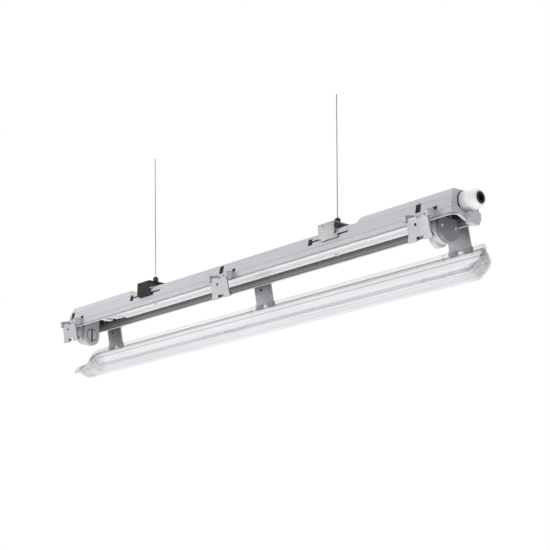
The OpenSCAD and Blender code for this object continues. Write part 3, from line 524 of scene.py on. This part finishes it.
def clip_place(x, side):
    """Axes of an open clip: origin on its bead's centre, -Y outwards"""
    return (Matrix.Translation((0, 0, SEAM_Z)) @ Matrix.Scale(-side, 4, (0, 1, 0))
            @ Matrix.Translation((x, -BEAD.y, BEAD.z)) @ Matrix.Rotation(CLIP_LEAN[side], 4, "X")
            @ Matrix.Translation((0, 0, -CLIP_DROP[side])))


for side, places in CLIP_X.items():
    for end, x in places.items():
        body = f"{WORD[side]}_clip_{end}"
        for k, foot in enumerate((FOOT_W - CLIP_HALF, CLIP_HALF)):
            # painted shadow inside each hook
            hook_shade = arc_points(foot + HOOK_SHADE_INSET, foot + HOOK_SHADE_INSET + HOOK_SHADE_W, HOOK_IN, HOOK_OUT,
                             HOOK_SHADE_START, HOOK_SHADE_SWEEP, HOOK_SHADE_ROUND, HOOK_SHADE_STEPS)
            piece(f"{body}_hook_shadow_{k}", skin(hook_shade), "black", body, clip_place(x, side))
        hole = Matrix.Translation((HOLE_X, -(HOOK_IN + HOOK_OUT) / 2, CLIP_RISE[side] - HOLE_DROP))
        # painted shadow in the clip's hole, as a black disc
        hole_shade = arc_points(-HOLE_SHADE_HALF, HOLE_SHADE_HALF, HOLE_SHADE_CORE, HOLE_SHADE_R, 0, 360, HOLE_SHADE_ROUND, HOLE_SHADE_STEPS)
        piece(f"{body}_hole_shadow", skin(hole_shade, True), "black", body,
              clip_place(x, side) @ hole @ Matrix.Rotation(math.pi / 2, 4, "Z"))


# Painted shade in the openings of the side walls, as dark bars behind them: shift from the clip or bracket,
# width, low and high, depth
WINDOW = (-0.0075, 0.007, 0.0115, 0.021, 0.0013)
NOTCH = (0.015, 0.006, 0.009, 0.013, 0.0013)
POCKET = (-0.0270, 0.006, 0.012, 0.0195, 0.0014)
SLOT_X = {"left": -0.1555, "right": 0.1645}
BACK_EDGE, BACK_OUT, BACK_IN, BACK_ROUND = 0.0004, 0.0005, 0.0001, 0.0002


def side_y(z):
    """Half width over the side walls at a height over the seam, straight between ledge, crease and top"""
    return float(np.interp(z, [0.0075, 0.020, 0.0275], [0.0218, 0.0191, 0.018]))


def opening_shade(name, x, side, opening):
    """Dark bar of painted shade, a little smaller than its opening, sunk behind the wall's outer face"""
    shift, width, low, high, depth = opening
    y = side_y((low + high) / 2) - depth
    near, far = sorted((side * (y - BACK_IN), side * (y + BACK_OUT)))
    half = width / 2 - BACK_EDGE
    bar(name, (x + shift - half, near, low + BACK_EDGE + SEAM_Z),
        (x + shift + half, far, high - BACK_EDGE + SEAM_Z), BACK_ROUND, "black", "housing")


for side, places in CLIP_X.items():
    for end, x in places.items():
        opening_shade(f"{WORD[side]}_window_{end}", x, side, WINDOW)
        opening_shade(f"{WORD[side]}_notch_{end}", x, side, NOTCH)
    for end, x in SLOT_X.items():
        opening_shade(f"{WORD[side]}_pocket_{end}", x, side, POCKET)

# Lampholders: painted shadow ring round each rotor and painted shade on the floor of its pin slot, set back
# from the face
LAMP_Z = SEAM_Z - 0.0085
LAMP_AXIS = Matrix.Translation((0, 0, LAMP_Z))
FACES = (("left", -0.296, 1), ("right", 0.296, -1))
RING_BACK, RING_R, RING_ROUND, RING_STEPS = (0.0019, 0.0003), (0.00735, 0.00825), 0.0001, 48
PIN_BACK, PIN_HALF_Y, PIN_HALF_Z, PIN_ROUND = (0.0044, 0.0012), 0.00125, 0.0068, 0.0002
for end, face, way in FACES:
    low, high = sorted(face - way * back for back in RING_BACK)
    ring = arc_points(low, high, *RING_R, 0, 360, RING_ROUND, RING_STEPS)
    piece(f"rotor_ring_{end}", skin(ring, True), "black", "housing", LAMP_AXIS)
    low, high = sorted(face - way * back for back in PIN_BACK)
    bar(f"rotor_slot_{end}", (low, -PIN_HALF_Y, LAMP_Z - PIN_HALF_Z), (high, PIN_HALF_Y, LAMP_Z + PIN_HALF_Z),
        PIN_ROUND, "black", f"rotor_{end}")

# Sleeve over the leads between the terminal block and the tray
SLEEVE_LOW = (-0.2364, -0.0095, SEAM_Z + 0.0054)
SLEEVE_HIGH = (-0.2342, 0.0095, SEAM_Z + 0.0092)
bar("lead_sleeve", SLEEVE_LOW, SLEEVE_HIGH, 0.0004, "red", "housing")

# Edges of the clip seats on the cover as grey bars of painted reflection, in the closed cover's own axes
SEAT_HALF, SEAT_Y, SEAT_Z, SEAT_ROUND = 0.013, (0.0237, 0.0242), (-0.0026, -0.0022), 0.0001
for side, places in CLIP_X.items():
    for end, x in places.items():
        near, far = sorted(side * y for y in SEAT_Y)
        bar(f"{WORD[side]}_seat_edge_{end}", (x - SEAT_HALF, near, SEAT_Z[0]),
            (x + SEAT_HALF, far, SEAT_Z[1]), SEAT_ROUND, "mark", "cover", COVER_TO_FRAME)

# Studio: pale floor far below, white all round, large soft lamps that the camera doesn't see
FLOOR_Z, FLOOR_HALF = -3.2, 12.0
FLOOR_GLOW = 0.45
WORLD_FILL = 0.66


def seen(sheet):
    """One for the camera, a reflection or a look through clear plastic, none for light on a piece"""
    rays = sheet.node("LightPath", {}, (), "Is Camera Ray")
    outs = rays.out.node.outputs
    return rays | Tone(sheet, outs["Is Glossy Ray"]) | Tone(sheet, outs["Is Transmission Ray"])


def make_floor():
    """Flat sheet: x and y from minus to plus the half size, at one height"""
    u, v = np.meshgrid([-FLOOR_HALF, FLOOR_HALF], [-FLOOR_HALF, FLOOR_HALF], indexing="ij")
    points = np.stack([u, v, np.full_like(u, FLOOR_Z)], axis=-1).reshape(-1, 3)
    mesh = bpy.data.meshes.new("studio_floor")
    mesh.from_pydata(points.tolist(), [], [(0, 2, 3, 1)])
    pale = Paint("studio_floor", Base_Color=(0.86, 0.86, 0.86, 1), Roughness=0.9,
                 Emission_Strength=FLOOR_GLOW)
    pale.feed(Emission_Color=seen(pale))
    mesh.materials.append(pale.mat)
    floor = bpy.data.objects.new("studio_floor", mesh)
    scene.collection.objects.link(floor)


make_floor()


def make_world(fill):
    """White to the camera and in reflections, a plain fill for everything else"""
    scene.world = bpy.data.worlds.new("studio")
    scene.world.use_nodes = True
    sheet = Sheet(scene.world.node_tree)
    sheet.tree.nodes.clear()
    plain = sheet.node("Background", {}, {"Color": (0.97, 0.98, 1.0, 1), "Strength": fill})
    white = sheet.node("Background", {}, {"Color": (1, 1, 1, 1), "Strength": 1.0})
    sheet.node("OutputWorld", {}, {"Surface": sheet.node("MixShader", {}, (seen(sheet), plain, white))})


make_world(WORLD_FILL)


def lamp(name, place, aim, size, watts):
    """Soft rectangle of light at a place, turned to face another"""
    data = bpy.data.lights.new(name, "AREA")
    data.shape = "RECTANGLE"
    data.size, data.size_y = size
    data.energy = watts
    made = bpy.data.objects.new(name, data)
    made.location = place
    made.rotation_euler = (Vector(aim) - Vector(place)).to_track_quat("-Z", "Y").to_euler()
    made.visible_camera = False
    scene.collection.objects.link(made)


lamp("key", (-1.2, -1.6, 0.5), (-0.1, 0, -0.03), (1.4, 1.0), 17.0)
lamp("low", (0.0, 0.05, -1.15), (0, 0, -0.05), (1.8, 0.5), 11.5)
lamp("top", (0.2, 0.4, 1.6), (0, 0, 0), (1.4, 1.0), 7.0)

scene.view_settings.view_transform = "Standard"
